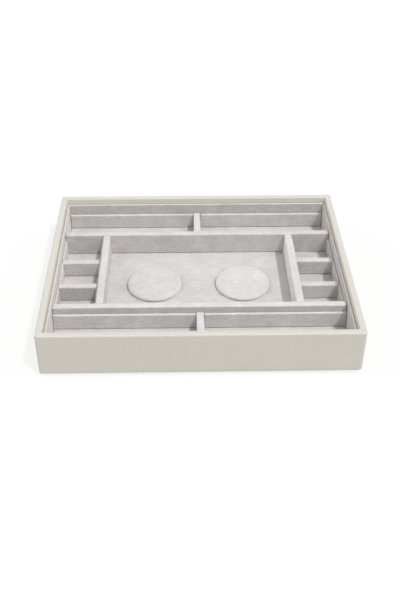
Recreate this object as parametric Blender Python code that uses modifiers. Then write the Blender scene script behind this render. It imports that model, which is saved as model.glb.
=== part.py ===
"""Stackable jewelry tray: a faux-leather case with a velvet interior.

The case is a board box covered by one folded sheet of faux leather.
Velvet boards line it, and velvet dividers, ledge strips and two padded
discs stand on a padded floor. Nothing in the tray moves.

Units are metres. +X is right, +Y is the rear and +Z is up. The origin is
the centre of the face that the tray stands on.
"""

import bmesh
import bpy
from math import cos, pi, sin

MM = 0.001

# Case
CASE_WIDTH = 250 * MM
CASE_DEPTH = 200 * MM
CASE_HEIGHT = 38.2 * MM
BOARD_THICKNESS = 3.8 * MM
BASE_BOARD_THICKNESS = 3 * MM
GLUE_GAP = 0.3 * MM

# Folded covering
SKIN_THICKNESS = 0.5 * MM
CORNER_RADIUS = 2.5 * MM
FOOT_RADIUS = 1.8 * MM
RIM_RADIUS = 1.3 * MM
INNER_RIM_RADIUS = 0.9 * MM
FOLD_RADIUS = 0.4 * MM
INNER_FLAP_LENGTH = 15 * MM
TURN_IN_LENGTH = 14 * MM

# Velvet plinth under the case
PLINTH_DROP = 2.5 * MM
PLINTH_CLEARANCE = 1.2 * MM
PLINTH_CORNER_RADIUS = 3 * MM
PLINTH_EDGE_RADIUS = 0.7 * MM

# Velvet lining and floor
LINING_THICKNESS = 1.5 * MM
LINING_EDGE_RADIUS = 0.6 * MM
STACKING_RECESS = 5.5 * MM
FLOOR_PAD_THICKNESS = 5.2 * MM
FLOOR_PAD_EDGE_RADIUS = 0.5 * MM

# Dividers, heights measured from the floor
ROW_DEPTH = 38.3 * MM
COLUMN_WIDTH = 34.2 * MM
TALL_DIVIDER_THICKNESS = 6.1 * MM
TALL_DIVIDER_HEIGHT = 19.6 * MM
SHORT_DIVIDER_THICKNESS = 6.1 * MM
CENTRE_DIVIDER_HEIGHT = 14.9 * MM
CROSS_DIVIDER_HEIGHT = 13.8 * MM
DIVIDER_EDGE_RADIUS = 1.1 * MM
CELLS_PER_COLUMN = 3

# Ledge strips
STRIP_THICKNESS = 2.6 * MM
STRIP_HEIGHT = 13.9 * MM
STRIP_EDGE_RADIUS = 0.8 * MM
COLUMN_STRIP_THICKNESS = 1.3 * MM
COLUMN_STRIP_EDGE_RADIUS = 0.5 * MM

# Padded discs
DISC_RADIUS = 23.6 * MM
DISC_HEIGHT = 3.1 * MM
DISC_DRAW_IN = 0.5 * MM
DISC_PLACE_SHARE = 0.488
DISC_SHOULDER_SHARE = 0.45
DISC_ROUNDNESS_SHARE = 0.55

# Facets
MERGE_DISTANCE = 0.03 * MM
CORNER_STEPS = 6
FOLD_STEPS = 4
EDGE_SEGMENTS = 3
DISC_STEPS = 48
DISC_SIDE_STEPS = 3
DISC_CROWN_STEPS = 7

# Insets of each layer from the outer face of the case
BOARD_INSET = SKIN_THICKNESS + GLUE_GAP
BOARD_INNER_INSET = BOARD_INSET + BOARD_THICKNESS
RIM_WIDTH = BOARD_INNER_INSET + GLUE_GAP + SKIN_THICKNESS
LINING_INSET = RIM_WIDTH + GLUE_GAP
LINING_FACE_INSET = LINING_INSET + LINING_THICKNESS

# Levels above the standing face
CASE_BOTTOM = PLINTH_DROP
RIM_LEVEL = CASE_BOTTOM + CASE_HEIGHT
BOARD_BOTTOM = CASE_BOTTOM + BOARD_INSET
BASE_TOP = BOARD_BOTTOM + BASE_BOARD_THICKNESS
LINING_BOTTOM = BASE_TOP + GLUE_GAP
FLOOR_LEVEL = LINING_BOTTOM + FLOOR_PAD_THICKNESS
LINING_TOP = RIM_LEVEL - STACKING_RECESS

# Half sizes of the lined inside, and where the tall dividers stand
INSIDE_X = CASE_WIDTH / 2 - LINING_FACE_INSET
INSIDE_Y = CASE_DEPTH / 2 - LINING_FACE_INSET
ROW_FACE_Y = INSIDE_Y - ROW_DEPTH
COLUMN_END_Y = ROW_FACE_Y - TALL_DIVIDER_THICKNESS
COLUMN_FACE_X = INSIDE_X - COLUMN_WIDTH
CENTRE_X = COLUMN_FACE_X - TALL_DIVIDER_THICKNESS
CROSS_DIVIDERS = CELLS_PER_COLUMN - 1
CELL_DEPTH = (2 * COLUMN_END_Y - CROSS_DIVIDERS * SHORT_DIVIDER_THICKNESS) / CELLS_PER_COLUMN

SIDES = (("left", -1), ("right", 1))
ENDS = (("rear", 1), ("front", -1))


def clear_scene():
    for obj in list(bpy.data.objects):
        bpy.data.objects.remove(obj, do_unlink=True)


def make_collection(name):
    collection = bpy.data.collections.new(name)
    bpy.context.scene.collection.children.link(collection)
    return collection


def make_material(name, color, roughness):
    material = bpy.data.materials.new(name)
    material.use_nodes = True
    shader = material.node_tree.nodes["Principled BSDF"]
    shader.inputs["Base Color"].default_value = (*color, 1)
    shader.inputs["Roughness"].default_value = roughness
    shader.inputs["Metallic"].default_value = 0
    material.diffuse_color = (*color, 1)
    return material


class Tray:
    """Holds the collection, the parent and the materials of the pieces."""

    def __init__(self):
        self.collection = make_collection("jewelry_organizer")
        self.parent = bpy.data.objects.new("jewelry_organizer_origin", None)
        self.collection.objects.link(self.parent)
        self.board = make_material("grey_board", (0.36, 0.31, 0.25), 0.9)
        self.leather = make_material("cream_leatherette", (0.60, 0.58, 0.50), 0.55)
        self.velvet = make_material("grey_velvet", (0.53, 0.51, 0.50), 0.95)
        self.pad = make_material("padded_velvet", (0.58, 0.56, 0.55), 0.95)

    def add(self, name, mesh, location, material):
        """Place a mesh as a named piece under the tray's parent."""
        obj = bpy.data.objects.new(name, mesh)
        self.collection.objects.link(obj)
        obj.parent = self.parent
        obj.location = location
        mesh.materials.append(material)
        return obj


def is_upright(edge):
    low, high = sorted(vertex.co.z for vertex in edge.verts)
    return high - low > edge.calc_length() / 2


def is_level_at(edge, height):
    middle = (edge.verts[0].co.z + edge.verts[1].co.z) / 2
    return not is_upright(edge) and abs(middle - height) < MERGE_DISTANCE


def box_mesh(name, size, corner_radius=0, rounds_corner=None, rounds_bottom=False):
    """Box on its own base centre, with chosen upright corners rounded.

    Edges of the top, and of the base where asked, are marked for a Bevel
    modifier, with the upright edges that stay sharp so far.
    """
    width, depth, height = size
    bm = bmesh.new()
    bmesh.ops.create_cube(bm, size=1)
    bmesh.ops.scale(bm, vec=size, verts=bm.verts)
    bmesh.ops.translate(bm, vec=(0, 0, height / 2), verts=bm.verts)
    if corner_radius:
        corners = [e for e in bm.edges if is_upright(e) and rounds_corner(e.verts[0].co)]
        bmesh.ops.bevel(
            bm, geom=corners, offset=corner_radius, segments=CORNER_STEPS,
            profile=0.5, affect="EDGES",
        )
    weight = bm.edges.layers.float.new("bevel_weight_edge")
    for edge in bm.edges:
        marked = is_level_at(edge, height) or (rounds_bottom and is_level_at(edge, 0))
        marked = marked or (is_upright(edge) and not corner_radius)
        edge[weight] = 1 if marked else 0
    mesh = bpy.data.meshes.new(name)
    bm.to_mesh(mesh)
    bm.free()
    return mesh


def soften_edges(obj, radius, segments=EDGE_SEGMENTS):
    """Round the marked edges, as cloth drawn over a board does."""
    bevel = obj.modifiers.new("soft_edges", "BEVEL")
    bevel.limit_method = "WEIGHT"
    bevel.width = radius
    bevel.segments = segments
    return bevel


def add_board(tray, name, size, location, material, edge_radius):
    obj = tray.add(name, box_mesh(name, size), location, material)
    soften_edges(obj, edge_radius)
    return obj


def arc(center_inset, center_level, radius, start, end):
    """Points of an arc across the wall, as (inset, level) pairs."""
    points = []
    for step in range(FOLD_STEPS + 1):
        angle = start + (end - start) * step / FOLD_STEPS
        points.append((center_inset + radius * cos(angle), center_level + radius * sin(angle)))
    return points


def skin_profile():
    """Run of the covering: under the base, up, over the rim and inside."""
    foot = arc(FOOT_RADIUS, CASE_BOTTOM + FOOT_RADIUS, FOOT_RADIUS, 3 * pi / 2, pi)
    outer_fold = arc(RIM_RADIUS, RIM_LEVEL - RIM_RADIUS, RIM_RADIUS, pi, pi / 2)
    inset, level = RIM_WIDTH - INNER_RIM_RADIUS, RIM_LEVEL - INNER_RIM_RADIUS
    inner_fold = arc(inset, level, INNER_RIM_RADIUS, pi / 2, 0)
    turn_in = [(TURN_IN_LENGTH, CASE_BOTTOM)]
    flap = [(RIM_WIDTH, LINING_TOP), (RIM_WIDTH, RIM_LEVEL - INNER_FLAP_LENGTH)]
    return turn_in + foot + outer_fold + inner_fold + flap


def rounded_rectangle(width, depth, radius):
    """Corner arcs of a rounded rectangle, anticlockwise from +X +Y."""
    points = []
    quarters = ((1, 1, 0), (-1, 1, 1), (-1, -1, 2), (1, -1, 3))
    for sign_x, sign_y, quarter in quarters:
        center_x = sign_x * (width / 2 - radius)
        center_y = sign_y * (depth / 2 - radius)
        for step in range(CORNER_STEPS + 1):
            angle = (quarter + step / CORNER_STEPS) * pi / 2
            points.append((center_x + radius * cos(angle), center_y + radius * sin(angle)))
    return points


def skin_mesh(name):
    """Open loft of one rounded rectangle for each point of the profile."""
    bm = bmesh.new()
    loops = []
    for inset, level in skin_profile():
        radius = max(CORNER_RADIUS - inset, FOLD_RADIUS)
        outline = rounded_rectangle(CASE_WIDTH - 2 * inset, CASE_DEPTH - 2 * inset, radius)
        loops.append([bm.verts.new((x, y, level)) for x, y in outline])
    for lower, upper in zip(loops, loops[1:]):
        for index, vertex in enumerate(lower):
            after = (index + 1) % len(lower)
            bm.faces.new((vertex, lower[after], upper[after], upper[index]))
    mesh = bpy.data.meshes.new(name)
    bm.to_mesh(mesh)
    bm.free()
    return mesh


def build_covering(tray):
    """One folded sheet: turned in below, over the rim, down inside."""
    mesh = skin_mesh("leatherette_wrap")
    obj = tray.add("leatherette_wrap", mesh, (0, 0, 0), tray.leather)
    solidify = obj.modifiers.new("sheet_thickness", "SOLIDIFY")
    solidify.thickness = SKIN_THICKNESS
    solidify.offset = -1
    solidify.use_even_offset = True
    solidify.use_quality_normals = True


def build_case_boards(tray):
    """Front and rear boards run full width, with the side boards between."""
    height = CASE_HEIGHT - 2 * BOARD_INSET
    edge_radius = RIM_RADIUS - BOARD_INSET
    corner_radius = CORNER_RADIUS - BOARD_INSET
    wall_y = CASE_DEPTH / 2 - BOARD_INSET - BOARD_THICKNESS / 2
    wall_x = CASE_WIDTH / 2 - BOARD_INSET - BOARD_THICKNESS / 2
    inner_reach = 2 * (BOARD_INNER_INSET + GLUE_GAP)
    for label, sign in ENDS:
        name = label + "_wall_board"
        size = (CASE_WIDTH - 2 * BOARD_INSET, BOARD_THICKNESS, height)
        mesh = box_mesh(name, size, corner_radius, lambda co: co.y * sign > 0, True)
        obj = tray.add(name, mesh, (0, sign * wall_y, BOARD_BOTTOM), tray.board)
        soften_edges(obj, edge_radius, 1)
    for label, sign in SIDES:
        name = label + "_wall_board"
        mesh = box_mesh(name, (BOARD_THICKNESS, CASE_DEPTH - inner_reach, height), rounds_bottom=True)
        obj = tray.add(name, mesh, (sign * wall_x, 0, BOARD_BOTTOM), tray.board)
        soften_edges(obj, edge_radius, 1)
    name = "base_board"
    size = (CASE_WIDTH - inner_reach, CASE_DEPTH - inner_reach, BASE_BOARD_THICKNESS)
    obj = tray.add(name, box_mesh(name, size), (0, 0, BOARD_BOTTOM), tray.board)
    soften_edges(obj, edge_radius, 1)


def build_plinth(tray):
    """Velvet board under the case that nests in the recess of a tray below."""
    reach = 2 * (RIM_WIDTH + PLINTH_CLEARANCE)
    size = (CASE_WIDTH - reach, CASE_DEPTH - reach, PLINTH_DROP - GLUE_GAP)
    name = "nesting_plinth"
    mesh = box_mesh(name, size, PLINTH_CORNER_RADIUS, lambda co: True, True)
    obj = tray.add(name, mesh, (0, 0, 0), tray.velvet)
    soften_edges(obj, PLINTH_EDGE_RADIUS, 2)


def build_lining(tray):
    """Velvet boards inside the walls, ending below the rim."""
    height = LINING_TOP - LINING_BOTTOM
    width = CASE_WIDTH - 2 * LINING_INSET
    depth = CASE_DEPTH - 2 * (LINING_FACE_INSET + GLUE_GAP)
    lining_y = INSIDE_Y + LINING_THICKNESS / 2
    lining_x = INSIDE_X + LINING_THICKNESS / 2
    for label, sign in ENDS:
        size = (width, LINING_THICKNESS, height)
        place = (0, sign * lining_y, LINING_BOTTOM)
        add_board(tray, label + "_lining", size, place, tray.velvet, LINING_EDGE_RADIUS)
    for label, sign in SIDES:
        size = (LINING_THICKNESS, depth, height)
        place = (sign * lining_x, 0, LINING_BOTTOM)
        add_board(tray, label + "_lining", size, place, tray.velvet, LINING_EDGE_RADIUS)


def build_floor(tray):
    size = (2 * (INSIDE_X - GLUE_GAP), 2 * (INSIDE_Y - GLUE_GAP), FLOOR_PAD_THICKNESS)
    place = (0, 0, LINING_BOTTOM)
    add_board(tray, "floor_pad", size, place, tray.velvet, FLOOR_PAD_EDGE_RADIUS)


def add_divider(tray, name, size, x, y, edge_radius=DIVIDER_EDGE_RADIUS):
    """Velvet piece standing on the floor, its height counted from there."""
    width, depth, height = size
    standing = (width, depth, height - GLUE_GAP)
    place = (x, y, FLOOR_LEVEL + GLUE_GAP)
    return add_board(tray, name, standing, place, tray.velvet, edge_radius)


def build_tall_dividers(tray):
    """Two across the tray, and one down each side of the centre."""
    long_size = (2 * (INSIDE_X - GLUE_GAP), TALL_DIVIDER_THICKNESS, TALL_DIVIDER_HEIGHT)
    for label, sign in ENDS:
        y = sign * (ROW_FACE_Y - TALL_DIVIDER_THICKNESS / 2)
        add_divider(tray, label + "_long_divider", long_size, 0, y)
    column_depth = 2 * (COLUMN_END_Y - GLUE_GAP)
    column_size = (TALL_DIVIDER_THICKNESS, column_depth, TALL_DIVIDER_HEIGHT)
    for label, sign in SIDES:
        x = sign * (CENTRE_X + TALL_DIVIDER_THICKNESS / 2)
        add_divider(tray, label + "_column_divider", column_size, x, 0)


def build_short_dividers(tray):
    """One in the middle of each row, and two across each side column."""
    size = (SHORT_DIVIDER_THICKNESS, ROW_DEPTH - 2 * GLUE_GAP, CENTRE_DIVIDER_HEIGHT)
    for label, sign in ENDS:
        y = sign * (INSIDE_Y - ROW_DEPTH / 2)
        add_divider(tray, label + "_centre_divider", size, 0, y)
    width = INSIDE_X - COLUMN_FACE_X - 2 * GLUE_GAP
    size = (width, SHORT_DIVIDER_THICKNESS, CROSS_DIVIDER_HEIGHT)
    offset = (CELL_DEPTH + SHORT_DIVIDER_THICKNESS) / 2
    for side, side_sign in SIDES:
        x = side_sign * (COLUMN_FACE_X + INSIDE_X) / 2
        for label, sign in ENDS:
            add_divider(tray, f"{side}_{label}_cross_divider", size, x, sign * offset)


def build_row_strips(tray):
    """Ledges along both long faces of each row, cut by its centre divider."""
    start = SHORT_DIVIDER_THICKNESS / 2 + GLUE_GAP
    length = INSIDE_X - GLUE_GAP - start
    size = (length, STRIP_THICKNESS, STRIP_HEIGHT)
    seat = GLUE_GAP + STRIP_THICKNESS / 2
    for row, row_sign in ENDS:
        lines = (("lining", INSIDE_Y - seat), ("divider", ROW_FACE_Y + seat))
        for side, side_sign in SIDES:
            x = side_sign * (start + length / 2)
            for backing, y in lines:
                name = f"{row}_{side}_{backing}_strip"
                add_divider(tray, name, size, x, row_sign * y, STRIP_EDGE_RADIUS)


def build_column_strips(tray):
    """Ledges along both long faces of each small compartment."""
    size = (COLUMN_STRIP_THICKNESS, CELL_DEPTH - 2 * GLUE_GAP, STRIP_HEIGHT)
    seat = GLUE_GAP + COLUMN_STRIP_THICKNESS / 2
    pitch = CELL_DEPTH + SHORT_DIVIDER_THICKNESS
    cells = (("rear", 1), ("middle", 0), ("front", -1))
    for side, side_sign in SIDES:
        lines = (("lining", INSIDE_X - seat), ("divider", COLUMN_FACE_X + seat))
        for cell, place in cells:
            y = place * pitch
            for backing, line_x in lines:
                name = f"{side}_{cell}_cell_{backing}_strip"
                x = side_sign * line_x
                add_divider(tray, name, size, x, y, COLUMN_STRIP_EDGE_RADIUS)


def disc_profile():
    """Half section of a disc, from the crown out and down to the base."""
    shoulder = DISC_HEIGHT * DISC_SHOULDER_SHARE
    crown = DISC_HEIGHT - shoulder
    points = []
    for step in range(DISC_CROWN_STEPS):
        angle = step / DISC_CROWN_STEPS * pi / 2
        reach = DISC_RADIUS * sin(angle) ** DISC_ROUNDNESS_SHARE
        rise = shoulder + crown * cos(angle) ** DISC_ROUNDNESS_SHARE
        points.append((reach, rise))
    for step in range(DISC_SIDE_STEPS + 1):
        angle = step / DISC_SIDE_STEPS * pi / 2
        reach = DISC_RADIUS - DISC_DRAW_IN * (1 - cos(angle))
        points.append((reach, shoulder * (1 - sin(angle))))
    return points + [(0, 0)]


def disc_mesh(name):
    bm = bmesh.new()
    previous = None
    for reach, rise in disc_profile():
        vertex = bm.verts.new((reach, 0, rise))
        if previous:
            bm.edges.new((previous, vertex))
        previous = vertex
    mesh = bpy.data.meshes.new(name)
    bm.to_mesh(mesh)
    bm.free()
    return mesh


def build_discs(tray):
    """Padded discs with a low crown and sides drawn in at the floor."""
    for label, sign in SIDES:
        name = label + "_bracelet_disc"
        place = (sign * CENTRE_X * DISC_PLACE_SHARE, 0, FLOOR_LEVEL + GLUE_GAP)
        obj = tray.add(name, disc_mesh(name), place, tray.pad)
        screw = obj.modifiers.new("turned_form", "SCREW")
        screw.steps = DISC_STEPS
        screw.render_steps = DISC_STEPS
        screw.use_merge_vertices = True
        screw.merge_threshold = MERGE_DISTANCE
        screw.use_smooth_shade = True


def build():
    clear_scene()
    tray = Tray()
    build_case_boards(tray)
    build_covering(tray)
    build_plinth(tray)
    build_lining(tray)
    build_floor(tray)
    build_tall_dividers(tray)
    build_short_dividers(tray)
    build_row_strips(tray)
    build_column_strips(tray)
    build_discs(tray)
    bpy.context.view_layer.update()


build()
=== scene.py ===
# Stackable jewelry tray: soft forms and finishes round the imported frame
from math import cos, pi, radians, sin

import bmesh
import bpy
import numpy as np
from mathutils import Matrix, Vector


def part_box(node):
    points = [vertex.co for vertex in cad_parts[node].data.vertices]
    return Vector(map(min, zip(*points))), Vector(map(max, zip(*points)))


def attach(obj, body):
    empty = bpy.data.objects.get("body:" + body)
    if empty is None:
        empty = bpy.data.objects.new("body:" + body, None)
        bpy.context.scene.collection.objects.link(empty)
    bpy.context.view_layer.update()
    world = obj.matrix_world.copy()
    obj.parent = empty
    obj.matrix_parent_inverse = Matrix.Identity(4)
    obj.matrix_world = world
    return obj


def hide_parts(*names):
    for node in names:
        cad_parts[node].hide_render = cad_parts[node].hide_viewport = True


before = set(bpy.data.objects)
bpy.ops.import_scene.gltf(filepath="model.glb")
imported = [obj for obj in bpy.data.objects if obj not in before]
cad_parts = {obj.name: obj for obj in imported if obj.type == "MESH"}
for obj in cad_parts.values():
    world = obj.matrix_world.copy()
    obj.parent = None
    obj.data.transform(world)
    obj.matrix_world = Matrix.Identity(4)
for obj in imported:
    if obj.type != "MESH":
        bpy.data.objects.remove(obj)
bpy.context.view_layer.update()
mm = 0.001
scene = bpy.context.scene
print("tray: frame loaded,", len(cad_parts), "nodes")


class Wire:
    # a node's output that adds and multiplies as a number does
    def __init__(self, bench, socket):
        self.bench = bench
        self.socket = socket

    def __add__(self, other):
        return self.bench.maths("ADD", self, other)

    __radd__ = __add__

    def __sub__(self, other):
        return self.bench.maths("SUBTRACT", self, other)

    def __rsub__(self, other):
        return self.bench.maths("SUBTRACT", other, self)

    def __mul__(self, other):
        return self.bench.maths("MULTIPLY", self, other)

    __rmul__ = __mul__

    def __truediv__(self, other):
        return self.bench.maths("DIVIDE", self, other)

    def __rtruediv__(self, other):
        return self.bench.maths("DIVIDE", other, self)


class Bench:
    # makes the nodes of one tree, for a material or for geometry
    def __init__(self, tree):
        self.tree = tree
        tree.nodes.clear()

    def join(self, value, socket):
        # links a wire or a socket, and sets anything else
        if isinstance(value, Wire):
            self.tree.links.new(value.socket, socket)
        elif isinstance(value, bpy.types.NodeSocket):
            self.tree.links.new(value, socket)
        else:
            socket.default_value = value

    def node(self, kind, settings=None, values=None):
        made = self.tree.nodes.new(kind)
        for name, setting in (settings or {}).items():
            setattr(made, name, setting)
        for key, value in (values or {}).items():
            self.join(value, made.inputs[key])
        return made

    def out(self, kind, settings=None, values=None, output=0):
        # the output of a new node, as a wire
        return Wire(self, self.node(kind, settings, values).outputs[output])

    def maths(self, operation, *values):
        return self.out("ShaderNodeMath", {"operation": operation}, dict(enumerate(values)))

    def vector(self, operation, *values):
        return self.out("ShaderNodeVectorMath", {"operation": operation}, dict(enumerate(values)))

    def scale(self, vector, factor):
        scaled = self.node("ShaderNodeVectorMath", {"operation": "SCALE"}, {0: vector, "Scale": factor})
        return Wire(self, scaled.outputs[0])

    def clamp(self, value):
        # held between 0 and 1
        return self.maths("MINIMUM", self.maths("MAXIMUM", value, 0), 1)

    def combine(self, x, y, z):
        return self.out("ShaderNodeCombineXYZ", values={"X": x, "Y": y, "Z": z})

    def split(self, vector):
        parts = self.node("ShaderNodeSeparateXYZ", values={"Vector": vector})
        return [Wire(self, output) for output in parts.outputs]

    def mark(self, geometry, name, value):
        # the geometry with a number kept at each of its points
        settings = {"data_type": "FLOAT", "domain": "POINT"}
        values = {"Geometry": geometry, "Name": name, "Value": value}
        return self.out("GeometryNodeStoreNamedAttribute", settings, values)

    def mixNumber(self, amount, low, high):
        return low + (high - low) * amount


def readInputs(bench, inputs):
    # names the tree's inputs and hands back a wire for each
    kinds = {"Float": "NodeSocketFloat", "Vector": "NodeSocketVector", "Material": "NodeSocketMaterial"}
    for name, kind in inputs.items():
        bench.tree.interface.new_socket(name=name, in_out="INPUT", socket_type=kinds[kind])
    bench.tree.interface.new_socket(name="Geometry", in_out="OUTPUT", socket_type="NodeSocketGeometry")
    given = bench.node("NodeGroupInput")
    return {name: Wire(bench, given.outputs[name]) for name in inputs}


def endTree(bench, geometry, material):
    # plain geometry with its material, as every tree here ends
    smooth = bench.out("GeometryNodeSetShadeSmooth", values={"Geometry": geometry})
    real = bench.out("GeometryNodeRealizeInstances", values={"Geometry": smooth})
    finished = bench.out("GeometryNodeSetMaterial", values={"Geometry": real, "Material": material})
    bench.node("NodeGroupOutput", values={"Geometry": finished})


def growPiece(name, tree, values, thicken=0):
    # runs a tree with these inputs and keeps the result as a plain mesh
    seedMesh = bpy.data.meshes.new(name + "_seed")
    grower = bpy.data.objects.new(name + "_seed", seedMesh)
    scene.collection.objects.link(grower)
    modifier = grower.modifiers.new("grow", "NODES")
    modifier.node_group = tree
    for item in tree.interface.items_tree:
        if item.in_out == "INPUT" and item.name in values:
            modifier[item.identifier] = values[item.name]
    if thicken:
        sheet = grower.modifiers.new("sheet", "SOLIDIFY")
        sheet.thickness = thicken
        sheet.offset = -1
        sheet.use_even_offset = True
    mesh = bpy.data.meshes.new_from_object(grower.evaluated_get(bpy.context.evaluated_depsgraph_get()))
    mesh.name = name
    bpy.data.objects.remove(grower, do_unlink=True)
    bpy.data.meshes.remove(seedMesh)
    return addPiece(name, mesh)


def addPiece(name, mesh):
    piece = bpy.data.objects.new(name, mesh)
    scene.collection.objects.link(piece)
    return piece


def readPoints(mesh):
    flat = np.empty(len(mesh.vertices) * 3)
    mesh.vertices.foreach_get("co", flat)
    return flat.reshape(-1, 3)


def writePoints(mesh, points):
    mesh.vertices.foreach_set("co", np.ascontiguousarray(points).ravel())
    mesh.update()


def settle(piece, node):
    # the piece stands for this node and rides with the tray
    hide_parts(node)
    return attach(piece, "root")


# Finishes

velvetLook = {
    "color": (0.764, 0.740, 0.722),
    "shade": 1,             # how bright this cloth is beside the boards' velvet
    "brushed": dict(size=15 * mm, detail=3, roughness=0.55),
    "brushedShare": 0.14,   # how far brushed patches of the pile differ
    "streaks": dict(size=2.6 * mm, detail=3, roughness=0.6, stretch=(0.35, 1, 1)),
    "streakShare": 0.15,
    "fibres": dict(size=0.6 * mm, detail=2, roughness=0.7),
    "fibreShare": 0.34,
    "edgeShare": 0.09,      # worn edges are paler, and this also paints the highlight that rounded edges catch
    "uprightShadeShare": 0.165,  # painted shade: upright faces are made darker, as they get less light than tops
    "roughness": 0.92,
    "roughnessShare": 0.12,
    "specular": 0.15,
    "sheen": 0.22,
    "sheenRoughness": 0.45,
    "pileHeight": 0.12 * mm,
    "fibreRise": 0.6,       # how much of the pile's height the fibres and the streaks make
    "streakRise": 0.4,
    "bumpStrength": 0.7,
}

# painted shade: the floor cloth is made darker, as it lies deep in the tray
floorLook = dict(velvetLook, shade=0.91)
discLook = dict(velvetLook, shade=0.94, sheen=0.55, sheenRoughness=0.35)    # its rear edge catches the light

leatherLook = {
    "color": (0.782, 0.750, 0.668),
    "shading": dict(size=45 * mm, detail=3, roughness=0.5),
    "shadingShare": 0.035,
    "grainSize": 0.95 * mm,
    "grainShare": 0.07,
    "grainHeight": 0.05 * mm,
    "grainSmoothness": 0.35,
    "bendSize": 1.7,        # the noise that bends the grain, and its reach, as shares of the grain's size
    "bendReach": 0.8,
    "valleyStart": 0.35,    # how far from a grain's middle its valley starts, and how fast it falls
    "valleySlope": 2.2,
    "pores": dict(size=0.22 * mm, detail=2, roughness=0.6),
    "poreRise": 0.35,
    "bumpStrength": 0.8,
    "creaseShadeShare": 0.05,
    "rimGrey": (-0.034, -0.024, -0.002),    # the rim is made a little greyer
    "roughness": 0.52,
    "valleyRoughness": 0.14,
    "poreRoughness": 0.1,
    "handledShine": 0.08,
    "specular": 0.35,
}

boardLook = {
    "color": (0.36, 0.31, 0.25),
    "fibres": dict(size=0.5 * mm, detail=3, roughness=0.6, stretch=(0.3, 0.3, 1)),
    "fibreShare": 0.3,
    "fibreHeight": 0.08 * mm,
    "flecks": dict(size=3 * mm, detail=2, roughness=0.6),
    "fleckShare": 0.15,
    "roughness": 0.9,
    "roughnessShare": 0.1,
    "bumpStrength": 0.6,
}


def newMaterial(name):
    material = bpy.data.materials.new(name)
    material.use_nodes = True
    bench = Bench(material.node_tree)
    shader = bench.node("ShaderNodeBsdfPrincipled")
    bench.node("ShaderNodeOutputMaterial", values={"Surface": shader.outputs["BSDF"]})
    place = bench.out("ShaderNodeTexCoord", output="Object")
    return material, bench, shader, place


def noiseOf(bench, place, size, detail=2, roughness=0.5, stretch=(1, 1, 1)):
    # noise whose features are about this size, from 0 to 1
    scaled = bench.vector("MULTIPLY", place, tuple(along / size for along in stretch))
    values = {"Vector": scaled, "Scale": 1, "Detail": detail, "Roughness": roughness}
    return bench.out("ShaderNodeTexNoise", values=values)


def readMark(bench, name):
    # a number that the piece's own mesh carries at each point, or 0 where it carries none
    return bench.out("ShaderNodeAttribute", {"attribute_name": name}, output="Fac")


def makeVelvet(name, look):
    # short pile: brushed patches, streaks and fibres, and the marks the mesh carries: paler edges, painted
    # shade on upright faces, pile tones with painted light and shade
    material, bench, shader, place = newMaterial(name)
    brushed = noiseOf(bench, place, **look["brushed"])
    streaks = noiseOf(bench, place, **look["streaks"])
    fibres = noiseOf(bench, place, **look["fibres"])
    change = (brushed - 0.5) * (2 * look["brushedShare"])
    change = change + (streaks - 0.5) * (2 * look["streakShare"])
    change = change + (fibres - 0.5) * (2 * look["fibreShare"])
    change = change + readMark(bench, "edge") * look["edgeShare"]
    # painted shade on upright faces, and pile tone with painted light and shade
    change = change + readMark(bench, "napAndLight") - readMark(bench, "upright") * look["uprightShadeShare"]
    bench.join(bench.scale(look["color"], (1 + change) * look["shade"]), shader.inputs["Base Color"])
    rough = look["roughness"] + (fibres - 0.5) * look["roughnessShare"]
    bench.join(rough, shader.inputs["Roughness"])
    shader.inputs["Sheen Weight"].default_value = look["sheen"]
    shader.inputs["Sheen Roughness"].default_value = look["sheenRoughness"]
    shader.inputs["Specular IOR Level"].default_value = look["specular"]
    height = fibres * look["fibreRise"] + streaks * look["streakRise"]
    bump = {"Height": height, "Distance": look["pileHeight"], "Strength": look["bumpStrength"]}
    bench.join(bench.out("ShaderNodeBump", values=bump), shader.inputs["Normal"])
    return material


def makeLeather(name, look):
    # a fine pebbled grain with pores, with painted shade in its folds, and greyer at the rim
    material, bench, shader, place = newMaterial(name)
    grain = look["grainSize"]
    bend = noiseOf(bench, place, grain * look["bendSize"], detail=1)
    bent = bench.scale(bench.combine(bend, bend, bend), grain * look["bendReach"])
    pebble = bench.out("ShaderNodeTexVoronoi", {"feature": "SMOOTH_F1"}, {
        "Vector": bench.vector("ADD", place, bent), "Scale": 1 / grain, "Smoothness": look["grainSmoothness"],
    })
    valleys = bench.clamp((pebble - look["valleyStart"]) * look["valleySlope"])
    pores = noiseOf(bench, place, **look["pores"])
    shading = noiseOf(bench, place, **look["shading"])
    nearRim = readMark(bench, "edge")
    creaseShade = readMark(bench, "creaseAndShade")
    change = (shading - 0.5) * (2 * look["shadingShare"])
    change = change - valleys * look["grainShare"]
    # painted shade in the creases and along the line behind the lining
    change = change - creaseShade * look["creaseShadeShare"]
    color = bench.vector("ADD", look["color"], bench.scale(look["rimGrey"], nearRim))
    bench.join(bench.scale(color, 1 + change), shader.inputs["Base Color"])
    rough = look["roughness"] + valleys * look["valleyRoughness"]
    rough = rough + (pores - 0.5) * look["poreRoughness"] - nearRim * look["handledShine"]
    bench.join(rough, shader.inputs["Roughness"])
    shader.inputs["Specular IOR Level"].default_value = look["specular"]
    height = (1 - valleys) + pores * look["poreRise"]
    bump = {"Height": height, "Distance": look["grainHeight"], "Strength": look["bumpStrength"]}
    bench.join(bench.out("ShaderNodeBump", values=bump), shader.inputs["Normal"])
    return material


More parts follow.
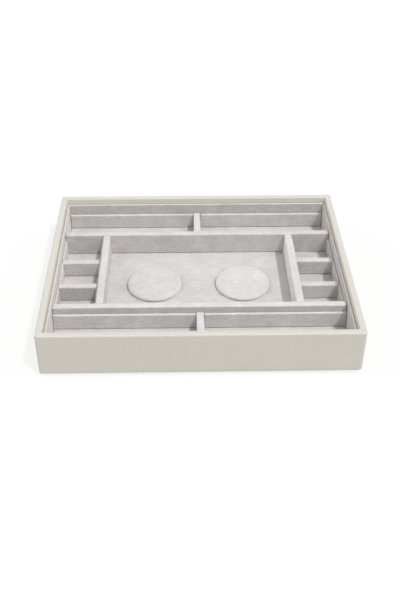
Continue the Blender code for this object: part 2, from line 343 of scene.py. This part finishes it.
def makeGreyBoard(name, look):
    # pressed board: fibres that lie flat, and flecks
    material, bench, shader, place = newMaterial(name)
    fibres = noiseOf(bench, place, **look["fibres"])
    flecks = noiseOf(bench, place, **look["flecks"])
    change = (fibres - 0.5) * look["fibreShare"] + (flecks - 0.5) * look["fleckShare"]
    bench.join(bench.scale(look["color"], 1 + change), shader.inputs["Base Color"])
    rough = look["roughness"] + (fibres - 0.5) * look["roughnessShare"]
    bench.join(rough, shader.inputs["Roughness"])
    bump = {"Height": fibres, "Distance": look["fibreHeight"], "Strength": look["bumpStrength"]}
    bench.join(bench.out("ShaderNodeBump", values=bump), shader.inputs["Normal"])
    return material


velvet = makeVelvet("grey_velvet", velvetLook)
floorVelvet = makeVelvet("floor_velvet", floorLook)
discVelvet = makeVelvet("disc_velvet", discLook)
leather = makeLeather("cream_leatherette", leatherLook)
greyBoard = makeGreyBoard("grey_board", boardLook)
print("tray: finishes made")


# Covering: one sheet folded round the boards

coveringForm = {
    "skin": 0.5 * mm,
    "cornerRadius": 2.5 * mm,
    "footRadius": 1.8 * mm,
    "rimRadius": 1.3 * mm,
    "innerRadius": 0.9 * mm,
    "foldRadius": 0.4 * mm,
    "turnIn": 14 * mm,
    "innerFlap": 15 * mm,
    "cornerSteps": 12,
    "sideSteps": 64,
    "turnInSteps": 4,
    "bendSteps": 8,
    "wallSteps": 12,
    "rimSteps": 4,
    "flapSteps": 44,
    "weld": 0.01 * mm,
    "creaseDepth": 0.08 * mm,
    "creaseWidth": 0.35 * mm,
    "tuckWeight": 2,         # how much deeper the sheet is creased where it goes behind the lining, and how much painted shade that line gets
    "tuckWidth": 0.5 * mm,
    "waviness": 0.12 * mm,
    "wavinessSize": 38 * mm,
    "seed": 3,
}


def share(bench, index, start, count):
    # how far an index has gone through one stretch of the grid, from 0 to 1
    return bench.clamp((index - start) / count)


def makeCoveringTree(form):
    # a flat grid becomes the sheet: u goes round the case, v along the folded profile
    bench = Bench(bpy.data.node_groups.new("foldedCovering", "GeometryNodeTree"))
    given = readInputs(bench, {
        "Width": "Float", "Depth": "Float", "Bottom": "Float", "Top": "Float",
        "Rim Width": "Float", "Corner Radius": "Float", "Foot Radius": "Float",
        "Rim Radius": "Float", "Inner Radius": "Float", "Fold Radius": "Float",
        "Turn In": "Float", "Inner Flap": "Float",
        "Crease Depth": "Float", "Crease Width": "Float", "Tuck Level": "Float",
        "Tuck Width": "Float", "Tuck Weight": "Float",
        "Waviness": "Float", "Waviness Size": "Float", "Seed": "Float", "Material": "Material",
    })
    # stretches of the fold: turn-in, foot, outer wall, outer rim, rim, inner rim, inner flap
    kinds = ("turnIn", "bend", "wall", "bend", "rim", "bend", "flap")
    counts = [form[kind + "Steps"] for kind in kinds]
    perQuarter = form["cornerSteps"] + form["sideSteps"]
    around = 4 * perQuarter
    along = sum(counts)
    grid = bench.out("GeometryNodeMeshGrid", values={
        "Size X": 1, "Size Y": 1, "Vertices X": around + 1, "Vertices Y": along + 1,
    })
    u, v = bench.split(bench.out("GeometryNodeInputPosition"))[:2]
    ring = bench.maths("ROUND", (u + 0.5) * around)
    run = bench.maths("ROUND", (v + 0.5) * along)
    gone = [share(bench, run, sum(counts[:index]), count) for index, count in enumerate(counts)]
    turnIn, footBend, wall, rimBend, rim, innerBend, flap = gone
    foot, radius, inner = given["Foot Radius"], given["Rim Radius"], given["Inner Radius"]
    sines = [bench.maths("SINE", bend * (pi / 2)) for bend in (footBend, rimBend, innerBend)]
    falls = [1 - bench.maths("COSINE", bend * (pi / 2)) for bend in (footBend, rimBend, innerBend)]
    inset = given["Turn In"] - turnIn * (given["Turn In"] - foot)
    inset = inset - sines[0] * foot + falls[1] * radius + sines[2] * inner
    inset = inset + rim * (given["Rim Width"] - radius - inner)
    level = given["Bottom"] + falls[0] * foot + sines[1] * radius - falls[2] * inner
    level = level + wall * (given["Top"] - given["Bottom"] - foot - radius)
    level = level - flap * (given["Inner Flap"] - inner)
    # round the case: each quarter is a corner's turn and then a side, finer near the corners
    quarter = bench.maths("FLOOR", ring / perQuarter)
    within = ring - quarter * perQuarter
    turn = (quarter + share(bench, within, 0, form["cornerSteps"])) * (pi / 2)
    slide = share(bench, within, form["cornerSteps"], form["sideSteps"])
    slide = 0.5 - 0.5 * bench.maths("COSINE", slide * pi)
    corner = bench.maths("MAXIMUM", given["Corner Radius"] - inset, given["Fold Radius"])
    spots = []
    for size, operation in ((given["Width"], "COSINE"), (given["Depth"], "SINE")):
        here = bench.maths("SIGN", bench.maths(operation, (quarter + 0.5) * (pi / 2)))
        there = bench.maths("SIGN", bench.maths(operation, (quarter + 1.5) * (pi / 2)))
        centre = bench.mixNumber(slide, here, there) * (size / 2 - inset - corner)
        spots.append(centre + corner * bench.maths(operation, turn))
    shaped = bench.out("GeometryNodeSetPosition", values={
        "Geometry": grid, "Position": bench.combine(spots[0], spots[1], level),
    })
    sealed = bench.out("GeometryNodeMergeByDistance", values={"Geometry": shaped, "Distance": form["weld"]})
    # creases at the mitred corners and behind the lining, dented and with painted shade, and how near the rim
    # each point lies
    x, y, z = bench.split(bench.out("GeometryNodeInputPosition"))
    sideGap = given["Width"] / 2 - bench.maths("ABSOLUTE", x)
    endGap = given["Depth"] / 2 - bench.maths("ABSOLUTE", y)
    offMitre = (sideGap - endGap) / given["Crease Width"]
    near = bench.maths("MAXIMUM", sideGap, endGap)
    creaseAndShade = bench.maths("EXPONENT", 0 - offMitre * offMitre)
    creaseAndShade = creaseAndShade * bench.clamp((near - 0.5 * radius) / radius)
    least = bench.maths("MINIMUM", sideGap, endGap)
    offTuck = (z - given["Tuck Level"]) / given["Tuck Width"]
    tuck = bench.maths("EXPONENT", 0 - offTuck * offTuck) * given["Tuck Weight"]
    tuck = tuck * bench.clamp((least - 0.5 * given["Rim Width"]) / radius)
    creaseAndShade = bench.maths("MAXIMUM", creaseAndShade, tuck)
    rimReach = bench.clamp(1 - (given["Top"] - z - 0.5 * radius) / radius)
    kept = bench.mark(bench.mark(sealed, "creaseAndShade", creaseAndShade), "edge", rimReach)
    place = bench.out("GeometryNodeInputPosition")
    wave = bench.out("ShaderNodeTexNoise", {"noise_dimensions": "4D"}, {
        "Vector": place, "W": given["Seed"], "Scale": 1 / given["Waviness Size"], "Detail": 1,
    })
    offset = (wave - 0.5) * given["Waviness"] - creaseAndShade * given["Crease Depth"]
    normal = bench.out("GeometryNodeInputNormal")
    soft = bench.out("GeometryNodeSetPosition", values={
        "Geometry": kept, "Offset": bench.scale(normal, offset),
    })
    endTree(bench, soft, given["Material"])
    return bench.tree


def buildCovering(form):
    low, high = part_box("leatherette_wrap")
    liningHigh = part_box("rear_lining")[1]
    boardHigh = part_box("rear_wall_board")[1]
    clearance = high.y - boardHigh.y - form["skin"]
    rimWidth = high.y - liningHigh.y - clearance
    piece = growPiece("folded_covering", makeCoveringTree(form), {
        "Width": high.x - low.x, "Depth": high.y - low.y, "Bottom": low.z, "Top": high.z,
        "Rim Width": rimWidth, "Corner Radius": form["cornerRadius"],
        "Foot Radius": form["footRadius"], "Rim Radius": form["rimRadius"],
        "Inner Radius": form["innerRadius"], "Fold Radius": form["foldRadius"],
        "Turn In": form["turnIn"], "Inner Flap": form["innerFlap"],
        "Crease Depth": form["creaseDepth"], "Crease Width": form["creaseWidth"],
        "Tuck Level": liningHigh.z, "Tuck Width": form["tuckWidth"],
        "Tuck Weight": float(form["tuckWeight"]),
        "Waviness": form["waviness"], "Waviness Size": form["wavinessSize"],
        "Seed": float(form["seed"]), "Material": leather,
    }, form["skin"])
    return settle(piece, "leatherette_wrap")


covering = buildCovering(coveringForm)
print("tray: covering folded,", len(covering.data.polygons), "faces")


# Velvet boards: linings, dividers, ledges and the plinth

boardForm = {
    "facet": 1.6 * mm,
    "edgeSteps": 4,
    "footRadius": 0.45 * mm,
    "footSlope": 1.6,        # how fast the sharp foot grows round up the side, and how far by half height
    "footMiddle": 0.6,
    "squareReach": 0.414,    # how much further out a square edge lies than a round one, in radii
    "waviness": 0.16 * mm,
    "wavinessSize": 11 * mm,
}

napAndLightTones = {             # pile tone with painted light and shade: how much paler the pile is made on a board's faces, and on its top
    "rear_lining": (-0.10, 0),
    "left_lining": (0.12, 0),
    # painted highlight on the right lining's top, which lies in the rim's shadow
    "right_lining": (0, 0.25),
    "rear_long_divider": (-0.075, -0.06),
    "front_long_divider": (-0.095, 0.02),
    "left_column_divider": (-0.04, -0.03),
    # painted light on the shaded left face of the right column divider
    "right_column_divider": (0.29, 0),
    "left_rear_cross_divider": (-0.03, -0.01),
    "left_front_cross_divider": (-0.11, 0),
    "right_rear_cross_divider": (-0.07, 0),
    "right_front_cross_divider": (0.01, 0),
    "left_rear_cell_lining_strip": (0.13, 0),
    "left_middle_cell_lining_strip": (0.21, 0),
    "front_left_lining_strip": (0.02, 0),
    "front_right_lining_strip": (0.04, 0),
}

boardEdges = {           # how round each kind of board is along its edges
    "lining": 0.6 * mm,
    "divider": 1.1 * mm,
    "cell_lining_strip": 0.5 * mm,
    "cell_divider_strip": 0.5 * mm,
    "strip": 0.8 * mm,
    "nesting_plinth": 0.7 * mm,
}


def makeBoardTree(form):
    # a box with a finer grid at its edges, which are rounded, marked and left a little wavy
    bench = Bench(bpy.data.node_groups.new("wrappedBoard", "GeometryNodeTree"))
    given = readInputs(bench, {
        "Centre": "Vector", "Size": "Vector", "Edge Radius": "Float", "Foot Radius": "Float",
        "Facet": "Float", "Waviness": "Float", "Waviness Size": "Float",
        "Face Nap And Light": "Float", "Top Nap And Light": "Float", "Seed": "Float", "Material": "Material",
    })
    steps = form["edgeSteps"]
    radius = given["Edge Radius"]
    spans = bench.split(given["Size"])
    middles = [
        bench.maths("MAXIMUM", bench.maths("CEIL", (span - 2 * radius) / given["Facet"]), 1)
        for span in spans
    ]
    counts = [middle + 2 * steps for middle in middles]
    cube = bench.out("GeometryNodeMeshCube", values={
        "Size": (1, 1, 1), "Vertices X": counts[0] + 1,
        "Vertices Y": counts[1] + 1, "Vertices Z": counts[2] + 1,
    })
    places = bench.split(bench.out("GeometryNodeInputPosition"))
    spread = []
    for place, span, middle, count in zip(places, spans, middles, counts):
        index = bench.maths("ROUND", (place + 0.5) * count)
        ends = share(bench, index, 0, steps) + share(bench, index, middle + steps, steps)
        flat = share(bench, index, steps, middle)
        spread.append(ends * radius + flat * (span - 2 * radius) - span / 2)
    boxed = bench.out("GeometryNodeSetPosition", values={
        "Geometry": cube, "Position": bench.combine(*spread),
    })
    # the foot, where the cloth is cut and glued, is sharper than the edges above it
    place = bench.out("GeometryNodeInputPosition")
    height = bench.split(place)[2]
    risen = bench.clamp(height / spans[2] * form["footSlope"] + form["footMiddle"])
    local = bench.mixNumber(risen, given["Foot Radius"], radius)
    inner = bench.vector("SUBTRACT", bench.scale(given["Size"], 0.5), bench.combine(local, local, local))
    outward = bench.vector("MULTIPLY", inner, (-1, -1, -1))
    core = bench.vector("MINIMUM", bench.vector("MAXIMUM", place, outward), inner)
    reach = bench.vector("SUBTRACT", place, core)
    rounded = bench.vector("ADD", core, bench.scale(bench.vector("NORMALIZE", reach), local))
    length = bench.out("ShaderNodeVectorMath", {"operation": "LENGTH"}, {0: reach}, output="Value")
    edge = bench.clamp((length / local - 1) / form["squareReach"])
    marked = bench.mark(boxed, "edge", edge)
    shaped = bench.out("GeometryNodeSetPosition", values={
        "Geometry": marked, "Position": bench.vector("ADD", rounded, given["Centre"]),
    })
    wave = bench.out("ShaderNodeTexNoise", {"noise_dimensions": "4D"}, {
        "Vector": bench.out("GeometryNodeInputPosition"), "W": given["Seed"],
        "Scale": 1 / given["Waviness Size"], "Detail": 2,
    })
    offset = (wave - 0.5) * given["Waviness"]
    normal = bench.out("GeometryNodeInputNormal")
    # how upright each face stands, and its pile tone with painted light and shade
    tilt = bench.split(normal)[2]
    upright = 1 - tilt * tilt
    napAndLight = bench.mixNumber(upright, given["Top Nap And Light"], given["Face Nap And Light"])
    napped = bench.mark(bench.mark(shaped, "upright", upright), "napAndLight", napAndLight)
    soft = bench.out("GeometryNodeSetPosition", values={
        "Geometry": napped, "Offset": bench.scale(normal, offset),
    })
    endTree(bench, soft, given["Material"])
    return bench.tree


def wrapBoards(form, edges, tones):
    tree = makeBoardTree(form)
    made = []
    for name in sorted(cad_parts):
        kinds = [kind for kind in edges if name.endswith(kind)]
        if not kinds:
            continue
        edgeRadius = edges[kinds[0]]    # the narrower kinds stand first in the list
        low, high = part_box(name)
        faceNapAndLight, topNapAndLight = tones.get(name, (0, 0))
        piece = growPiece(name + "_velvet", tree, {
            "Centre": (low + high) / 2, "Size": high - low,
            "Edge Radius": edgeRadius, "Foot Radius": form["footRadius"],
            "Facet": form["facet"], "Waviness": form["waviness"],
            "Waviness Size": form["wavinessSize"], "Face Nap And Light": float(faceNapAndLight),
            "Top Nap And Light": float(topNapAndLight), "Seed": float(len(made)), "Material": velvet,
        })
        made.append(settle(piece, name))
    return made


boards = wrapBoards(boardForm, boardEdges, napAndLightTones)
print("tray: boards wrapped,", len(boards))


# Floor: velvet over thin padding, pressed down where the dividers stand

floorForm = {
    "facet": 1.2 * mm,
    "edgeRadius": 0.5 * mm,
    "footRadius": 0.4 * mm,
    "crown": 0.22 * mm,
    "crownReach": 4 * mm,
    "dip": 0.25 * mm,
    "dipReach": 0.9 * mm,
    "topDepth": 0.4 * mm,    # points this close to the top rise and dip
    "waviness": 0.1 * mm,
    "wavinessSize": 9 * mm,
    "seed": 50,
    "fill": 0.9,
}


def footprints():
    # level outlines of what stands on the floor
    names = [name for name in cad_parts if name.endswith(("divider", "strip", "disc"))]
    return [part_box(name) for name in names]


def buildFloor(form, tree):
    low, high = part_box("floor_pad")
    piece = growPiece("floor_velvet", tree, {
        "Centre": (low + high) / 2, "Size": high - low,
        "Edge Radius": form["edgeRadius"], "Foot Radius": form["footRadius"],
        "Facet": form["facet"], "Waviness": form["waviness"],
        "Waviness Size": form["wavinessSize"], "Seed": float(form["seed"]), "Material": floorVelvet,
    })
    points = readPoints(piece.data)
    away = np.full(len(points), np.inf)    # how far each point lies from what stands on the floor
    for boxLow, boxHigh in footprints():
        outX = np.maximum(np.maximum(boxLow.x - points[:, 0], points[:, 0] - boxHigh.x), 0)
        outY = np.maximum(np.maximum(boxLow.y - points[:, 1], points[:, 1] - boxHigh.y), 0)
        away = np.minimum(away, np.hypot(outX, outY))
    top = points[:, 2] > high.z - form["topDepth"]
    rise = form["crown"] * (1 - np.exp(-away / form["crownReach"]))
    rise = rise - form["dip"] * np.exp(-away / form["dipReach"])
    points[top, 2] += rise[top]
    writePoints(piece.data, points)
    settle(piece, "floor_pad")
    return piece


floorPad = buildFloor(floorForm, bpy.data.node_groups["wrappedBoard"])
print("tray: floor laid,", len(floorPad.data.polygons), "faces")


# Discs: foam under velvet

discForm = {
    "fuller": 0.5 * mm,       # how far the padding swells above the frame's disc
    "longer": 1.03,           # the cover is a little longer from front to rear
    "rearward": 0.5 * mm,
    "drawIn": 0.6 * mm,       # how far the side turns under at the floor
    "edgeRound": 2.2 * mm,
    "crown": 0.3 * mm,
    "startSmaller": 0.25 * mm,
    "paintedNaps": {                 # painted light: how much paler the pile is made on the top and the side, and a painted highlight on the rear roll
        "left": (0.01, 0.20, 0.12),
        "right": (0.055, 0.20, 0.22),
    },
    "workScale": 10,          # cloth is simulated at ten times the real size
    "voxel": 4.5 * mm,        # at the work scale
    "pressure": 4.0,
    "frames": 20,
    "swell": 0.35 * mm,       # most that a point of the cover may move
    "heldCentre": 0.55,       # how firmly the stitched top is held
    "heldReach": 0.86,        # where the hold has faded out, as a share of the radius
    "heldFade": 0.2,
    "heldBase": 0.6,          # the glued base is held this high, in voxels
    "clothQuality": 6,
    "clothMass": 0.3,
    "clothStretch": 15,
    "clothShear": 8,
    "clothBend": 2,
    "profileSteps": 40,
    "roundSteps": 8,
    "sideSteps": 6,
    "baseSteps": 10,
    "turnSteps": 120,
    "weld": 0.005 * mm,
    "puckers": 46,
    "puckerDepth": 0.09 * mm,
    "puckerHeight": 0.55,     # how far puckers run up the side, as a share of the height
    "puckerStart": 0.9,       # where they start and how soon they are full, as shares of the radius
    "puckerFade": 0.06,
    "puckerOutward": 0.2,     # how far they bulge out, as a share of their depth
    "puckerWander": 2.4,      # how unevenly they are spaced, as waves of size, count and start
    "wanderWaves": ((0.9, 3, 0.6), (0.7, 7, 2.1)),
    "fill": 0.7,
    "turns": {"left": 0.0, "right": 2.2},
}


def discProfile(form, radius, height, smaller):
    # from the middle of the top, out over the soft edge and in under the side
    bend = form["edgeRound"]
    reach = radius - smaller
    top = height - smaller
    points = []
    for step in range(form["profileSteps"]):
        out = step / form["profileSteps"] * (reach - bend)
        points.append((out, top - form["crown"] * (out / reach) ** 2))
    shoulder = top - form["crown"] - bend
    for step in range(form["roundSteps"] + 1):
        angle = step / form["roundSteps"] * pi / 2
        points.append((reach - bend * (1 - sin(angle)), shoulder + bend * cos(angle)))
    for step in range(1, form["sideSteps"] + 1):
        angle = step / form["sideSteps"] * pi / 2
        points.append((reach - form["drawIn"] * (1 - cos(angle)), shoulder * (1 - sin(angle))))
    under = reach - form["drawIn"]
    for step in range(1, form["baseSteps"] + 1):
        points.append((under * (1 - step / form["baseSteps"]), 0))
    return points


def turnCover(form, radius, height, smaller):
    # the disc's profile turned round its axis, as one closed mesh
    profile = discProfile(form, radius, height, smaller)
    bm = bmesh.new()
    made = [bm.verts.new((reach, 0, rise)) for reach, rise in profile]
    edges = [bm.edges.new(pair) for pair in zip(made, made[1:])]
    bmesh.ops.spin(
        bm, geom=made + edges, cent=(0, 0, 0), axis=(0, 0, 1), angle=2 * pi,
        steps=form["turnSteps"], use_merge=True,
    )
    bmesh.ops.remove_doubles(bm, verts=bm.verts, dist=form["weld"])
    bmesh.ops.recalc_face_normals(bm, faces=bm.faces)
    mesh = bpy.data.meshes.new("disc_cover")
    bm.to_mesh(mesh)
    bm.free()
    mesh.shade_smooth()
    return mesh


def markPileAndLight(mesh, topNapAndLight, sideLight, rearHighlight):
    # how upright each point's face stands, and the painted light on the pile there
    normals = np.empty(len(mesh.vertices) * 3)
    mesh.vertices.foreach_get("normal", normals)
    normals = normals.reshape(-1, 3)
    upright = 1 - normals[:, 2] ** 2
    napAndLight = topNapAndLight * (1 - upright) + sideLight * upright + rearHighlight * np.clip(normals[:, 1], 0, 1)
    for name, values in (("upright", upright), ("napAndLight", napAndLight)):
        mark = mesh.attributes.new(name, "FLOAT", "POINT")
        mark.data.foreach_set("value", values)


def bakeModifiers(piece):
    # keeps what the modifiers make as a plain mesh
    baked = bpy.data.meshes.new_from_object(piece.evaluated_get(bpy.context.evaluated_depsgraph_get()))
    piece.modifiers.clear()
    worn = piece.data
    piece.data = baked
    bpy.data.meshes.remove(worn)
    return baked


def stuffDisc(form, radius, height):
    # a velvet cover over foam, blown up from a slightly smaller form
    workScale = form["workScale"]
    start = turnCover(form, radius, height, form["startSmaller"])
    start.transform(Matrix.Scale(workScale, 4))
    cover = addPiece("disc_cover", start)
    remesh = cover.modifiers.new("even", "REMESH")
    remesh.mode = "VOXEL"
    remesh.voxel_size = form["voxel"]
    remesh.use_smooth_shade = True
    bakeModifiers(cover)
    before = readPoints(cover.data)
    reach = np.hypot(before[:, 0], before[:, 1]) / (radius * workScale)
    onBase = before[:, 2] < form["voxel"] * form["heldBase"]
    onTop = form["heldCentre"] * np.clip((form["heldReach"] - reach) / form["heldFade"], 0, 1)
    hold = np.round(np.where(onBase, 1.0, onTop), 2)
    group = cover.vertex_groups.new(name="held")
    for level in np.unique(hold):
        members = np.nonzero(hold == level)[0]
        group.add([int(member) for member in members], float(level), "REPLACE")
    cloth = cover.modifiers.new("stuffing", "CLOTH")
    settings = cloth.settings
    settings.quality = form["clothQuality"]
    settings.mass = form["clothMass"]
    settings.tension_stiffness = form["clothStretch"]
    settings.compression_stiffness = form["clothStretch"]
    settings.shear_stiffness = form["clothShear"]
    settings.bending_stiffness = form["clothBend"]
    settings.use_pressure = True
    settings.uniform_pressure_force = form["pressure"]
    settings.vertex_group_mass = "held"
    settings.effector_weights.gravity = 0
    cloth.collision_settings.use_collision = False
    for number in range(1, form["frames"] + 1):
        scene.frame_set(number)
    bakeModifiers(cover)
    scene.frame_set(1)
    after = readPoints(cover.data)
    moved = after - before
    length = np.linalg.norm(moved, axis=1)
    cap = form["swell"] * workScale
    kept = cap * np.tanh(length / cap) / np.maximum(length, 1e-9)    # a still point isn't divided by nothing
    writePoints(cover.data, before + moved * kept[:, None])
    cover.data.transform(Matrix.Scale(1 / workScale, 4))
    most = float((length * kept).max()) / workScale / mm
    print("tray: disc cover swelled", round(most, 2), "mm")
    return cover


def gatherEdge(form, mesh, radius, height):
    # the cover is gathered under the disc, so small puckers run up its side
    points = readPoints(mesh)
    reach = np.hypot(points[:, 0], points[:, 1])
    turn = np.arctan2(points[:, 1], points[:, 0])
    low = np.clip(1 - points[:, 2] / (form["puckerHeight"] * height), 0, 1)
    side = np.clip((reach / radius - form["puckerStart"]) / form["puckerFade"], 0, 1)
    wander = sum(size * np.sin(count * turn + start) for size, count, start in form["wanderWaves"])
    waves = np.sin(form["puckers"] * turn + form["puckerWander"] * wander)
    pull = form["puckerDepth"] * low * side * waves
    pull = np.maximum(pull, -form["puckerOutward"] * form["puckerDepth"])
    points[:, :2] *= (1 - pull / np.maximum(reach, mm))[:, None]
    writePoints(mesh, points)


def buildDiscs(form):
    low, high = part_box("left_bracelet_disc")
    radius = (high.x - low.x) / 2
    height = high.z - low.z + form["fuller"]
    cover = stuffDisc(form, radius, height)
    finer = cover.modifiers.new("finer", "SUBSURF")
    finer.levels = 1
    finer.render_levels = 1
    finished = bakeModifiers(cover)
    gatherEdge(form, finished, radius, height)
    made = []
    for side, turn in form["turns"].items():
        low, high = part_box(side + "_bracelet_disc")
        mesh = finished.copy()
        mesh.name = side + "_padded_disc"
        middle = (low + high) / 2
        place = Matrix.Translation((middle.x, middle.y + form["rearward"], low.z))
        mesh.transform(place @ Matrix.Diagonal((1, form["longer"], 1, 1)) @ Matrix.Rotation(turn, 4, "Z"))
        mesh.materials.clear()
        mesh.materials.append(discVelvet)
        markPileAndLight(mesh, *form["paintedNaps"][side])
        piece = addPiece(side + "_padded_disc", mesh)
        settle(piece, side + "_bracelet_disc")
        made.append(piece)
    bpy.data.objects.remove(cover, do_unlink=True)
    return made


discs = buildDiscs(discForm)
print("tray: discs stuffed,", len(discs))


# Boards inside the covering keep their own solids

for name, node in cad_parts.items():
    if name.endswith("_board"):
        node.data.materials.clear()
        node.data.materials.append(greyBoard)


# Studio: pale floor, soft light and the camera

cameraForm = {              # fitted to the straight edges of the tray in the photograph
    "place": (-0.01357, -0.57469, 0.448),
    "pitch": radians(38.256),
    "yaw": radians(1.520),
    "roll": radians(0.367),
    "lens": 50.23,
    "sensor": 36,
    "nearest": 0.01,
    "furthest": 20,
}

studioForm = {
    "floorSize": 3.0,
    "floorDrop": 0.1 * mm,  # keeps it clear of the cloth under the plinth
    "floorBounce": 0.5,     # how pale the floor is to the tray, and to the camera
    "floorSeen": 0.98,
    "shadowShare": 0.2,     # how much of its shadow the white floor keeps
    "skyStrength": 0.27,
    "lamps": {              # direction, spread in degrees, share of the light
        "key": ((0.40, -0.42, 1.0), 5, 0.52),
        "front": ((0, -1.0, 0.4), 60, 0.10),
        "right": ((1.0, 0, 0.5), 70, 0.26),
        "left": ((-1.0, 0, 0.5), 70, 0.35),
    },
}


def setCamera(form):
    data = bpy.data.cameras.new("tray_camera")
    data.lens = form["lens"]
    data.sensor_width = form["sensor"]
    data.clip_start = form["nearest"]
    data.clip_end = form["furthest"]
    camera = bpy.data.objects.new("tray_camera", data)
    scene.collection.objects.link(camera)
    pitch, yaw, roll = form["pitch"], form["yaw"], form["roll"]
    forward = Vector((sin(yaw) * cos(pitch), cos(yaw) * cos(pitch), -sin(pitch)))
    right = Vector((cos(yaw), -sin(yaw), 0))
    up = right.cross(forward)
    side = cos(roll) * right + sin(roll) * up
    top = -sin(roll) * right + cos(roll) * up
    axes = Matrix((side, top, -forward)).transposed().to_4x4()
    camera.matrix_world = Matrix.Translation(form["place"]) @ axes
    scene.camera = camera


def raysSeen(bench):
    # one for what the camera sees, straight or by gloss and glass
    rays = bench.node("ShaderNodeLightPath").outputs
    straight = Wire(bench, rays["Is Camera Ray"])
    return bench.clamp(straight + rays["Is Glossy Ray"] + rays["Is Transmission Ray"])


def layFloor(form):
    mesh = bpy.data.meshes.new("studio_floor")
    half = form["floorSize"] / 2
    low = -form["floorDrop"]
    corners = [(-half, -half, low), (half, -half, low), (half, half, low), (-half, half, low)]
    mesh.from_pydata(corners, [], [(0, 1, 2, 3)])
    floor = addPiece("studio_floor", mesh)
    material = bpy.data.materials.new("studio_paper")
    material.use_nodes = True
    bench = Bench(material.node_tree)
    seen = raysSeen(bench)
    grey = bench.mixNumber(seen, form["floorBounce"], form["floorSeen"])
    paper = bench.node("ShaderNodeBsdfDiffuse", values={"Color": bench.combine(grey, grey, grey)})
    glow = bench.node("ShaderNodeEmission", values={"Color": (1, 1, 1, 1), "Strength": 1})
    white = seen * (1 - form["shadowShare"])
    both = bench.node("ShaderNodeMixShader", values={0: white, 1: paper.outputs[0], 2: glow.outputs[0]})
    bench.node("ShaderNodeOutputMaterial", values={"Surface": both.outputs[0]})
    mesh.materials.append(material)


def lightStudio(form):
    world = bpy.data.worlds.new("studio")
    scene.world = world
    world.use_nodes = True
    bench = Bench(world.node_tree)
    white = (1, 1, 1, 1)
    sky = bench.node("ShaderNodeBackground", values={"Color": white, "Strength": form["skyStrength"]})
    backdrop = bench.node("ShaderNodeBackground", values={"Color": white, "Strength": 1})
    seen = raysSeen(bench)
    both = bench.node("ShaderNodeMixShader", values={0: seen, 1: sky.outputs[0], 2: backdrop.outputs[0]})
    bench.node("ShaderNodeOutputWorld", values={"Surface": both.outputs[0]})
    for name, (direction, spread, portion) in form["lamps"].items():
        lamp = bpy.data.lights.new(name, "SUN")
        lamp.energy = portion * pi      # a white surface that faces it shows this share of white
        lamp.angle = radians(spread)
        holder = bpy.data.objects.new(name, lamp)
        holder.rotation_mode = "QUATERNION"
        holder.rotation_quaternion = Vector(direction).to_track_quat("Z", "Y")
        scene.collection.objects.link(holder)


setCamera(cameraForm)
layFloor(studioForm)
lightStudio(studioForm)
scene.view_settings.view_transform = "Standard"
print("tray: studio lit")
